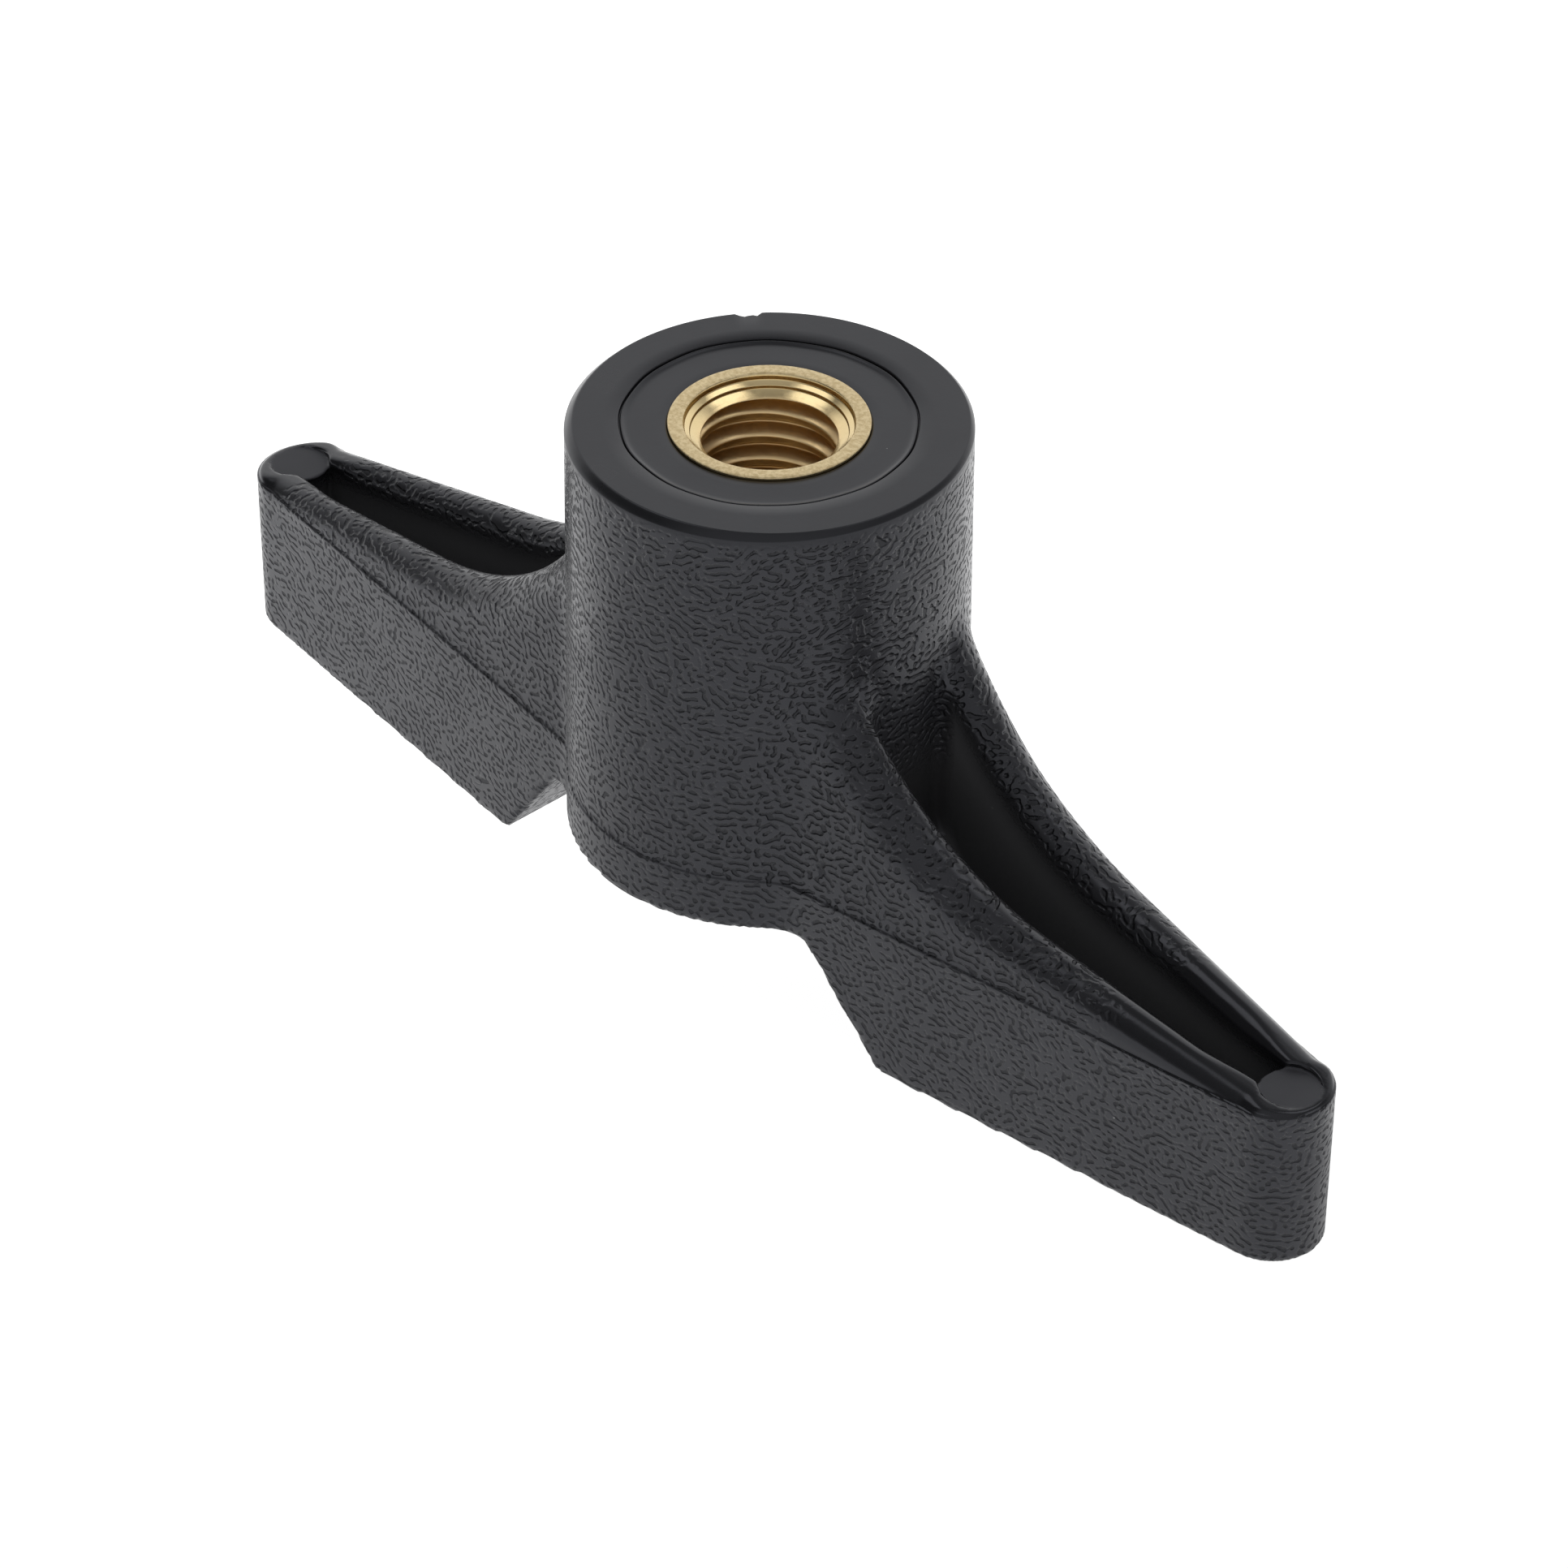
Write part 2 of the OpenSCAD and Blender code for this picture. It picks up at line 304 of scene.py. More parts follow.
def surface_net(f, lines):
    """One vertex in each cell the surface crosses, one quad for each grid edge it crosses."""
    cells = tuple(n - 1 for n in f.shape)
    count = np.zeros(cells, np.float32)
    total = np.zeros(cells + (3,), np.float32)
    cuts = []
    for axis in range(3):
        cut, t, inside = axis_cuts(f, axis)
        cuts.append((cut, inside))
        others = [a for a in range(3) if a != axis]
        for p in (0, 1):
            for q in (0, 1):
                part = [slice(None)] * 3
                part[others[0]] = slice(p, cells[others[0]] + p)
                part[others[1]] = slice(q, cells[others[1]] + q)
                c = cut[tuple(part)]
                count += c
                total[..., axis] += c * t[tuple(part)]
                total[..., others[0]] += c * p
                total[..., others[1]] += c * q
    used = count > 0
    where = np.argwhere(used)
    spot = where + total[used] / count[used][:, None]
    points = np.stack([np.interp(spot[:, a], np.arange(len(lines[a])), lines[a]) for a in range(3)], 1)
    index = np.full(cells, -1, np.int64)
    index[used] = np.arange(len(where))
    quads = [net_quads(cuts[axis], index, axis) for axis in range(3)]
    return points, np.concatenate(quads)


def net_quads(cuts, index, axis):
    """A quad round each cut grid edge of one axis, from the four cells that share the edge."""
    cut, inside = cuts
    b, c = (axis + 1) % 3, (axis + 2) % 3
    at = np.argwhere(cut)
    ok = (at[:, b] > 0) & (at[:, c] > 0)
    ok &= (at[:, b] < index.shape[b]) & (at[:, c] < index.shape[c])
    at = at[ok]
    corners = []
    for db, dc in ((-1, -1), (0, -1), (0, 0), (-1, 0)):
        p = at.copy()
        p[:, b] += db
        p[:, c] += dc
        corners.append(index[p[:, 0], p[:, 1], p[:, 2]])
    quads = np.stack(corners, 1)
    flip = ~inside[at[:, 0], at[:, 1], at[:, 2]]
    quads[flip] = quads[flip][:, ::-1]
    return quads


def settle(points, free):
    """Newton steps that put free vertices on the surface."""
    e = 0.01
    longest = 0.08
    least_slope = 0.5
    for _ in range(3):
        p = points[free]
        d = body_field(p[:, 0], p[:, 1], p[:, 2])
        g = np.empty_like(p)
        for a in range(3):
            hi = p.copy()
            lo = p.copy()
            hi[:, a] += e
            lo[:, a] -= e
            g[:, a] = (body_field(*hi.T) - body_field(*lo.T)) / (2 * e)
        n2 = np.maximum((g * g).sum(1), least_slope ** 2)
        step = np.clip(d / n2, -longest, longest)
        points[free] = p - g * step[:, None]
    return points


# ---------------------------------------------------------------- turned upper part of the body
# Cavity round the insert: radius at its collar, radius below it, and the collar's lower end
COLLAR_SEAT_R = 3.655
CAVITY_R = 4.3
COLLAR_END = -0.9
# Height of the face inside the witness groove
RECESS_Z = -0.12
# Gate nick in the top edge
NICK_ANGLE = math.radians(142.9)
NICK_HALF = math.radians(4.2)
NICK_DEPTH = 0.16
NICK_LOWER = 0.05
NICK_FROM_R = 6.9
NICK_HEIGHTS = (-0.45, -0.05)
NICK_TEETH = 190.0
# The top edge was trimmed more on one side: the direction, the mean and the swing
TRIM_ANGLE = math.radians(-133.4)
TRIM_MEAN = 0.1
TRIM_SWING = 0.34
# Only the trimmed edge is farther out and higher than this
EDGE_R = 7.05
EDGE_Z = -0.3
# Radii between which the groove starts to waver, and stops again
WAVER_FROM = (4.9, 5.15)
WAVER_TO = (5.45, 5.9)


def cap_profile():
    """(radius, z) rows from the seam up over the face and down the cavity round the insert."""
    seat = COLLAR_SEAT_R
    rows = [(boss_radius(z), z) for z in np.arange(SEAM_Z + 0.1, -0.6, 0.2)]
    # wall and trimmed edge
    top = boss_radius(-0.5)
    rows += [(top, -0.5), (top, -0.23), (top - 0.01, -0.19)]
    rows += [(top - 0.18, -0.02), (top - 0.21, 0.0), (top - 0.24, 0.0)]
    # outer face, and the outer wall and floor of the groove
    rows += [(6.6, 0.0), (6.0, 0.0), (5.41, 0.0), (5.385, -0.01), (5.37, -0.04), (5.365, -0.15)]
    # inner wall of the groove and its raised lip
    rows += [(5.355, -0.17), (5.315, -0.17), (5.305, -0.15), (5.295, -0.07), (5.28, -0.05), (5.25, -0.045)]
    # recess up to the insert's collar
    rows += [(5.21, -0.065), (5.14, -0.10), (5.06, -0.117)]
    rows += [(4.95, RECESS_Z), (4.6, RECESS_Z), (4.1, RECESS_Z)]
    rows += [(seat + 0.09, RECESS_Z), (seat + 0.03, -0.13), (seat, -0.16)]
    # cavity
    rows += [(seat, COLLAR_END + 0.02), (seat, COLLAR_END), (CAVITY_R, COLLAR_END), (CAVITY_R, -4.0)]
    rows += [(CAVITY_R, INSERT_END), (1.5, INSERT_END)]
    return rows


def waver(angles):
    """The groove isn't quite round."""
    return 0.014 * np.sin(5.0 * angles + 0.6) + 0.012 * np.sin(13.0 * angles + 2.0)


def turned_row(angles, r, z):
    """One ring of the turned part, with the nick, the uneven edge and the wavering groove."""
    off = np.abs(np.mod(angles - NICK_ANGLE + math.pi, 2.0 * math.pi) - math.pi)
    nick = 1.0 - smooth(off, 0.55 * NICK_HALF, NICK_HALF)
    nick = nick * (r > NICK_FROM_R) * smooth(z, *NICK_HEIGHTS)
    radius = r - NICK_DEPTH * nick * (0.75 + 0.25 * np.sin(angles * NICK_TEETH))
    trim = TRIM_MEAN + TRIM_SWING * np.cos(angles - TRIM_ANGLE)
    radius = radius + (r - BOSS_TOP_R) * trim * (r > EDGE_R)
    z = z * (1.0 + trim * (r > EDGE_R) * (z > EDGE_Z))
    radius = radius + waver(angles) * smooth(radius, *WAVER_FROM) * (1.0 - smooth(radius, *WAVER_TO))
    return np.stack([radius * np.cos(angles), radius * np.sin(angles), z - NICK_LOWER * nick], 1)


def body_mesh():
    """The net of the lower part, sewn along its open top ring to the turned rows."""
    lines = grid_lines()
    gx, gy, gz = np.meshgrid(*lines, indexing="ij")
    f = body_field(gx, gy, gz)
    points, quads = surface_net(f, lines)
    last = 0.5 * (lines[2][-1] + lines[2][-2])
    ring = np.flatnonzero(points[:, 2] > lines[2][-2])
    free = np.ones(len(points), bool)
    free[ring] = False
    points = settle(points, free)
    r = np.hypot(points[ring, 0], points[ring, 1])
    scale = boss_radius(last) / r
    points[ring, 0] *= scale
    points[ring, 1] *= scale
    points[ring, 2] = last
    angles = np.arctan2(points[ring, 1], points[ring, 0])
    order = ring[np.argsort(angles)]
    angles = np.sort(angles)
    rows = cap_profile()
    n = len(order)
    extra = [turned_row(angles, r, z) for r, z in rows]
    centre = np.array([[0.0, 0.0, rows[-1][1]]])
    base = len(points)
    faces = [quads]
    below = order
    for k in range(len(rows)):
        above = base + k * n + np.arange(n)
        faces.append(np.stack([below, np.roll(below, -1), np.roll(above, -1), above], 1))
        below = above
    points = np.concatenate([points] + extra + [centre])
    fan = np.stack([below, np.roll(below, -1), np.full(n, len(points) - 1)], 1)
    return points, np.concatenate(faces).tolist() + fan.tolist()


def new_object(name, points, faces):
    """A smooth-shaded object with doubled vertices merged and all faces turned outwards."""
    mesh = bpy.data.meshes.new(name)
    mesh.from_pydata((points * MM).tolist(), [], faces)
    mesh.validate()
    obj = bpy.data.objects.new(name, mesh)
    bpy.context.scene.collection.objects.link(obj)
    bm = bmesh.new()
    bm.from_mesh(mesh)
    bmesh.ops.remove_doubles(bm, verts=bm.verts, dist=MERGE_DISTANCE)
    bmesh.ops.dissolve_degenerate(bm, edges=bm.edges, dist=DEGENERATE_DISTANCE)
    bmesh.ops.recalc_face_normals(bm, faces=bm.faces)
    bm.to_mesh(mesh)
    bm.free()
    mesh.polygons.foreach_set("use_smooth", [True] * len(mesh.polygons))
    mesh.update()
    return obj


def vertex_points(obj):
    """The object's vertices in millimetres."""
    co = np.zeros(len(obj.data.vertices) * 3, np.float32)
    obj.data.vertices.foreach_get("co", co)
    return co.reshape(-1, 3).astype(float) / MM


def point_values(obj, name, values):
    layer = obj.data.attributes.new(name, "FLOAT", "POINT")
    layer.data.foreach_set("value", values.astype(np.float32))


# Heights between which the etched grain of the boss starts, below its smooth top band
ETCHED_FROM = (-0.40, -0.65)
# Distance from the axis over which the boss's wall gives way to the wing's
WING_FROM = (7.5, 8.2)
# |x| over which the rims turn from etched to polished, on the +X wing and on the -X wing
POLISH_PLUS = (17.0, 21.0)
POLISH_MINUS = (24.0, 25.5)


def body_zones(obj):
    """Point attributes for the material: where the mould was etched, smooth, hollow (where the pocket walls
    get painted light), sharp or upper.
    """
    p = vertex_points(obj)
    x, y, z = p.T
    X, Y = np.abs(x), np.abs(y)
    r = np.hypot(x, y)
    on_side = smooth(-z, -ETCHED_FROM[0], -ETCHED_FROM[1])
    pad = (np.hypot(X - PAD_X, Y) < PAD_R + 0.01) & (np.abs(z - PAD_Z) < 0.05)
    hollow = np.maximum(pocket_wall(X, Y), X - PAD_X)
    depth = -rim_field(X, Y, z)
    above_ends = smooth(-lower_field(X, z), 0.5, 1.0)
    # the etching fades down the pocket's own walls, and lower down on the boss's wall
    on_wing = smooth(r, *WING_FROM)
    faded = on_wing * smooth(depth, 0.1, 1.3) + (1.0 - on_wing) * smooth(depth, 1.2, 3.6) * (X > 5.0)
    inside = (1.0 - smooth(hollow, 0.1, 0.7)) * faded * above_ends
    rim = smooth(-depth, -2.2, -0.9)
    polished = np.where(x > 0, smooth(x, *POLISH_PLUS), smooth(-x, *POLISH_MINUS))
    tip = rim * polished * (z > PARTING_Z - 0.02)
    grain = on_side * (1.0 - inside) * (1.0 - tip)
    grain[pad] = 0.0
    grain[(r < 7.25) & (z > -0.3)] = 0.0
    point_values(obj, "grain", grain)
    point_values(obj, "pad", pad.astype(float))
    # hollow: the pocket walls, which get a lighter colour as painted light, and more roughness
    point_values(obj, "hollow", inside * (0.3 + 0.7 * on_wing) * smooth(depth, 0.1, 2.1))
    point_values(obj, "sharp", smooth(-depth, -1.6, -0.7) * on_side * ~pad)
    point_values(obj, "upper", smooth(z, PARTING_Z - 0.02, PARTING_Z + 0.02))


# ---------------------------------------------------------------- threaded insert
PITCH = 1.0
MINOR_R = 2.459
MAJOR_R = 3.0
THREAD_END = -10.5
# Drilled hole below the thread, and its cone
DRILL_R = MINOR_R - 0.01
DRILL_END = -11.3
CONE_END = DRILL_END - 0.7
LIP_Z = -0.70
# Outside, hidden in the plastic: collar, bands without their knurl, and the retention groove between them
COLLAR_R = 3.645
KNURL_R = 4.28
RETENTION_R = 3.7
COLUMNS = 144
# Where the thread starts round the axis
THREAD_TURN = math.radians(158.0)
# Widths of the crest and the root, as parts of the pitch
CREST = 0.25
ROOT = 0.125
# Heights of the mesh rows in one pitch, closer together round the corners
ROW_PHASES = (0.0, 0.03, 0.07, 0.125, 0.18, 0.22, 0.25, 0.28, 0.33, 0.40, 0.47, 0.53, 0.5625, 0.60, 0.625,
              0.65, 0.6875, 0.72, 0.78, 0.85, 0.92, 0.97)


def thread_radius(phase):
    """Radius at a phase of the pitch, measured up from the crest's lower edge, corners eased."""
    flank = (1.0 - CREST - ROOT) / 2.0
    knots = [0.0, CREST, CREST + flank, CREST + flank + ROOT, 1.0]
    radii = [MINOR_R, MINOR_R, MAJOR_R, MAJOR_R, MINOR_R]
    total = np.zeros_like(phase)
    offsets = (-0.03, -0.015, 0.0, 0.015, 0.03)
    for o in offsets:
        total += np.interp(np.mod(phase + o, 1.0), knots, radii)
    return total / len(offsets)


def thread_rows():
    """Angles of the columns, and the heights of each row: every row climbs one pitch a turn."""
    theta = np.arange(COLUMNS) * 2.0 * math.pi / COLUMNS
    turns = int(math.ceil((LIP_Z - THREAD_END) / PITCH)) + 2
    rows = []
    for k in range(-1, turns + 1):
        for ph in ROW_PHASES:
            rows.append(THREAD_END + PITCH * (k + ph + theta / (2.0 * math.pi)))
    return theta, rows


def thread_at(theta, z):
    """Radius of the bore's wall at angles and heights."""
    phase = (z - THREAD_END) / PITCH - theta / (2.0 * math.pi)
    return np.maximum(thread_radius(np.mod(phase, 1.0)), MINOR_R)


def thread_mesh():
    """The thread's wall from THREAD_END up to LIP_Z; rows past either end are pressed flat onto it."""
    theta, rows = thread_rows()
    per = len(ROW_PHASES)
    points = []
    for z in rows:
        zc = np.clip(z, THREAD_END, LIP_Z)
        r = thread_at(theta, zc)
        a = theta + THREAD_TURN
        points.append(np.stack([r * np.cos(a), r * np.sin(a), zc], 1))
    n = COLUMNS
    faces = []
    for j in range(len(rows) - 1):
        a0 = j * n
        b0 = (j + 1) * n
        for i in range(n - 1):
            faces.append((a0 + i, b0 + i, b0 + i + 1, a0 + i + 1))
    # the last column joins the first one pitch further along
    for j in range(len(rows) - 1):
        a0 = j * n + n - 1
        b0 = (j + 1) * n + n - 1
        a1 = (j + per) * n
        b1 = (j + 1 + per) * n
        if j + 1 + per < len(rows):
            faces.append((a0, b0, b1, a1))
    return theta, np.concatenate(points), faces


def insert_mesh():
    """The insert as one closed shell: bore and thread, mouth, face, collar and bands."""
    theta, points, faces = thread_mesh()
    a = theta + THREAD_TURN
    n = COLUMNS
    parts = [points]
    count = len(points)

    def ring(r, z):
        nonlocal count
        radius = np.full(n, float(r)) if np.isscalar(r) else r
        parts.append(np.stack([radius * np.cos(a), radius * np.sin(a), np.full(n, float(z))], 1))
        count += n
        return count - n + np.arange(n)

    def join(lower, upper):
        corners = np.stack([lower, upper, np.roll(upper, -1), np.roll(lower, -1)], 1)
        faces.extend(corners.tolist())

    def close(edge, z):
        nonlocal count
        parts.append(np.array([[0.0, 0.0, z]]))
        count += 1
        corners = np.stack([edge, np.roll(edge, -1), np.full(n, count - 1)], 1)
        faces.extend(corners.tolist())

    lip = ring(thread_at(theta, LIP_Z), LIP_Z)
    for r, z in mouth_profile():
        upper = ring(r, z)
        join(lip, upper)
        lip = upper
    foot = ring(thread_at(theta, THREAD_END), THREAD_END)
    for r, z in ((DRILL_R, THREAD_END), (DRILL_R, DRILL_END), (0.2, CONE_END + 0.1)):
        lower = ring(r, z)
        join(lower, foot)
        foot = lower
    close(foot, CONE_END)
    close(lip[::-1], INSERT_END)
    return np.concatenate(parts), faces


def mouth_profile():
    """(radius, z) from the lip out over the face and down the outside."""
    rows = [(MINOR_R - 0.004, LIP_Z), (MINOR_R - 0.004, LIP_Z + 0.01), (2.475, LIP_Z + 0.03)]
    rows += [(2.60, -0.625), (2.72, -0.56), (2.82, -0.508), (2.832, -0.50), (2.838, -0.49)]
    rows += [(2.842, -0.44), (2.846, -0.385), (2.852, -0.372), (2.865, -0.365)]
    rows += [(2.93, -0.325), (3.01, -0.275)]
    rows += [(3.03, -0.262), (3.04, -0.245), (3.045, -0.2), (3.055, -0.12), (3.07, -0.05), (3.095, -0.02)]
    rows += [(3.12, -0.005), (3.15, 0.0), (3.25, 0.0), (3.4, 0.0)]
    # edge of the face and the collar
    rows += [(3.58, 0.0), (3.615, -0.005), (3.635, -0.02), (3.644, -0.05), (COLLAR_R, -0.1)]
    rows += [(COLLAR_R, COLLAR_END + 0.02), (COLLAR_R, COLLAR_END)]
    # bands with the retention groove between them, and the lower end
    rows += [(KNURL_R, COLLAR_END), (KNURL_R, -5.9), (RETENTION_R, -6.0), (RETENTION_R, -7.6)]
    rows += [(KNURL_R, -7.7), (KNURL_R, INSERT_END + 0.3), (KNURL_R - 0.3, INSERT_END), (2.0, INSERT_END)]
    return rows


def insert_zones(obj):
    """Point attributes for the material: the flat face round the mouth, and the threaded bore, which gets a
    painted orange glow.
    """
    p = vertex_points(obj)
    r = np.hypot(p[:, 0], p[:, 1])
    z = p[:, 2]
    point_values(obj, "face", smooth(r, 3.05, 3.1) * smooth(z, -0.06, -0.03))
    # deep: the threaded bore, which gets the painted orange glow and more roughness
    point_values(obj, "deep", smooth(-z, 0.6, 0.75) * (r < 3.1))


# ---------------------------------------------------------------- materials
def rgb(r, g, b):
    return (r, g, b, 1.0)


# Plastic: polished walls in two tones, ridges of the grain and its grooves in a darker tone as painted
# shade, pocket walls in a lighter tone as painted light, pads and dust
POLISHED_DARK = rgb(0.005, 0.005, 0.0056)
POLISHED_LIGHT = rgb(0.008, 0.008, 0.0090)
GROOVE_PAINTED_SHADE = rgb(0.0050, 0.0050, 0.0056)
RIDGE_TONE = rgb(0.0165, 0.0165, 0.0186)
POCKET_PAINTED_LIGHT = rgb(0.100, 0.100, 0.105)
PAD_TONE = rgb(0.028, 0.028, 0.0315)
DUST_TONE = rgb(0.16, 0.16, 0.16)
PLASTIC_TINT = rgb(0.88, 0.90, 1.0)
PLASTIC_IOR = 1.46
# Brass, each in a dark and a light tone: the face round the mouth, the mouth's slope, and the thread, whose
# brass is made more orange as a painted glow of light bounced in the bore
FACE_DARK = rgb(0.53, 0.41, 0.22)
FACE_LIGHT = rgb(0.72, 0.59, 0.355)
MOUTH_DARK = rgb(0.70, 0.54, 0.28)
MOUTH_LIGHT = rgb(0.78, 0.63, 0.36)
THREAD_GLOW_DARK = rgb(0.78, 0.56, 0.28)
THREAD_GLOW_LIGHT = rgb(0.86, 0.66, 0.38)
# Floor and its light
FLOOR_DARK = rgb(0.07, 0.07, 0.07)
FLOOR_LIGHT = rgb(0.09, 0.09, 0.09)
WHITE = rgb(1.0, 1.0, 1.0)
# Depths of the bumps in metres
GRAIN_DEPTH = 0.00009
SCUFF_DEPTH = 0.00002
PIT_DEPTH = 0.00002
# Scales of the patterns, per metre
GRAIN_SCALE = 1400.0
GRAIN_FREQUENCY = 2.45
FINE_SCALE = 7000.0
SCUFF_SCALE = 1500.0
DUST_SCALE = 1500.0
BLOTCH_SCALE = 220.0
SPECK_SCALE = 5200.0
CLOUD_SCALE = 700.0
MOTTLE_SCALE = 60.0
# Values of the wave between which a groove turns into a ridge
GROOVE_TO_RIDGE = (0.38, 0.57)
# Depth of the grain below the parting line, as a part of the depth above it
LOWER_GRAIN = 0.75
# Roughness of polished and of etched plastic, and what pads, pockets, grooves and edges change in it
POLISHED_ROUGH = 0.30
ETCHED_ROUGH = 0.36
PAD_ROUGH = 0.25
POCKET_ROUGH = 0.12
GROOVE_ROUGH = 0.25
SHARP_GLOSS = 0.11
# Roughness of the brass between its specks and in them, and what the face and the thread add to it
BRASS_ROUGH = (0.12, 0.20)
FACE_ROUGH = 0.24
THREAD_ROUGH = 0.16


def feed(tree, socket, value):
    """Link a socket to another one, or set it to a constant."""
    if isinstance(value, bpy.types.NodeSocket):
        tree.links.new(value, socket)
    else:
        socket.default_value = value


class Nodes:
    """Short way to write a node tree."""

    def __init__(self, name):
        self.material = bpy.data.materials.new(name)
        self.material.use_nodes = True
        self.tree = self.material.node_tree
        self.shader = self.tree.nodes["Principled BSDF"]

    def math(self, operation, a, b, clamp=False):
        node = self.tree.nodes.new("ShaderNodeMath")
        node.operation = operation
        node.use_clamp = clamp
        for socket, value in zip(node.inputs, (a, b)):
            feed(self.tree, socket, value)
        return node.outputs[0]

    def remap(self, value, a, b, c, d):
        """A smooth step that takes a..b to c..d."""
        node = self.tree.nodes.new("ShaderNodeMapRange")
        node.interpolation_type = "SMOOTHSTEP"
        self.tree.links.new(value, node.inputs["Value"])
        for key, number in (("From Min", a), ("From Max", b), ("To Min", c), ("To Max", d)):
            node.inputs[key].default_value = number
        return node.outputs["Result"]

    def mix(self, factor, a, b):
        node = self.tree.nodes.new("ShaderNodeMix")
        node.data_type = "RGBA"
        for socket, value in ((node.inputs[0], factor), (node.inputs[6], a), (node.inputs[7], b)):
            feed(self.tree, socket, value)
        return node.outputs[2]

    def noise(self, where, scale, detail, rough):
        node = self.tree.nodes.new("ShaderNodeTexNoise")
        self.tree.links.new(where, node.inputs["Vector"])
        node.inputs["Scale"].default_value = scale
        node.inputs["Detail"].default_value = detail
        node.inputs["Roughness"].default_value = rough
        return node.outputs["Fac"]

    def specks(self, where, scale, size, share):
        """Small round specks in a few of the cells."""
        node = self.tree.nodes.new("ShaderNodeTexVoronoi")
        self.tree.links.new(where, node.inputs["Vector"])
        node.inputs["Scale"].default_value = scale
        split = self.tree.nodes.new("ShaderNodeSeparateColor")
        self.tree.links.new(node.outputs["Color"], split.inputs[0])
        chosen = self.math("GREATER_THAN", split.outputs[0], share)
        return self.math("MULTIPLY", chosen, self.math("LESS_THAN", node.outputs["Distance"], size))

    def gabor(self, where, scale, frequency):
        """Short waves that run in every direction."""
        node = self.tree.nodes.new("ShaderNodeTexGabor")
        node.gabor_type = "3D"
        self.tree.links.new(where, node.inputs["Vector"])
        node.inputs["Scale"].default_value = scale
        node.inputs["Frequency"].default_value = frequency
        node.inputs["Anisotropy"].default_value = 0.0
        return node.outputs["Value"]

    def value_of(self, name):
        """A point attribute of the mesh."""
        node = self.tree.nodes.new("ShaderNodeAttribute")
        node.attribute_type = "GEOMETRY"
        node.attribute_name = name
        return node.outputs["Fac"]

    def place(self):
        """Object coordinates, in metres."""
        return self.tree.nodes.new("ShaderNodeTexCoord").outputs["Object"]

    def bump(self, height, strength, distance, normal=None):
        node = self.tree.nodes.new("ShaderNodeBump")
        node.inputs["Distance"].default_value = distance
        feed(self.tree, node.inputs["Height"], height)
        feed(self.tree, node.inputs["Strength"], strength)
        if normal is not None:
            feed(self.tree, node.inputs["Normal"], normal)
        return node.outputs["Normal"]

    def set(self, **sockets):
        """Feed the shader's own sockets; an underscore stands for a space in the name."""
        for key, value in sockets.items():
            feed(self.tree, self.shader.inputs[key.replace("_", " ")], value)


def plastic_material():
    """Glass-filled black plastic: etched grain with painted shade in its grooves, polished rims and pads,
    pocket walls painted lighter as painted light.
    """
    m = Nodes("moulded_black_plastic")
    where = m.place()
    grain = m.value_of("grain")
    pad = m.value_of("pad")
    hollow = m.value_of("hollow")
    upper = m.value_of("upper")
    sharp = m.value_of("sharp")
    # short worm-like wrinkles of the etched mould, with grooves narrower than the ridges between them
    wave = m.gabor(where, GRAIN_SCALE, GRAIN_FREQUENCY)
    fine = m.noise(where, FINE_SCALE, 2.0, 0.6)
    wave = m.math("ADD", wave, m.math("MULTIPLY", fine, 0.10))
    wrinkle = m.remap(wave, *GROOVE_TO_RIDGE, 0.0, 1.0)
    depth = m.math("MULTIPLY", grain, m.remap(upper, 0.0, 1.0, LOWER_GRAIN, 1.0))
    etched = m.bump(wrinkle, depth, GRAIN_DEPTH)
    scuffs = m.noise(where, SCUFF_SCALE, 4.0, 0.7)
    normal = m.bump(scuffs, 0.15, SCUFF_DEPTH, etched)
    dust = m.specks(where, DUST_SCALE, 0.07, 0.985)
    blotch = m.noise(where, BLOTCH_SCALE, 3.0, 0.6)
    polished = m.mix(blotch, POLISHED_DARK, POLISHED_LIGHT)
    # painted shade: the grain's grooves get a darker colour than its ridges, standing in for the shade that
    # falls in them
    grain_with_groove_shade = m.mix(wrinkle, GROOVE_PAINTED_SHADE, RIDGE_TONE)
    walls = m.mix(grain, polished, grain_with_groove_shade)
    # painted light: the pocket walls are lighter, standing in for light inside the pockets
    walls = m.mix(hollow, walls, POCKET_PAINTED_LIGHT)
    clean = m.mix(pad, walls, PAD_TONE)
    colour = m.mix(dust, clean, DUST_TONE)
    # grooves, pads and pockets are duller, edges a little glossier
    uneven = m.remap(blotch, 0.3, 0.7, -0.03, 0.03)
    groove = m.math("MULTIPLY", grain, m.math("SUBTRACT", 1.0, wrinkle))
    base_rough = m.remap(grain, 0.0, 1.0, POLISHED_ROUGH, ETCHED_ROUGH)
    rough = m.math("ADD", base_rough, uneven)
    rough = m.math("ADD", rough, m.math("MULTIPLY", pad, PAD_ROUGH))
    rough = m.math("ADD", rough, m.math("MULTIPLY", hollow, POCKET_ROUGH))
    rough = m.math("ADD", rough, m.math("MULTIPLY", groove, GROOVE_ROUGH))
    rough = m.math("SUBTRACT", rough, m.math("MULTIPLY", sharp, SHARP_GLOSS))
    m.set(Base_Color=colour, Roughness=rough, Normal=normal)
    m.set(IOR=PLASTIC_IOR, Specular_Tint=PLASTIC_TINT)
    return m.material


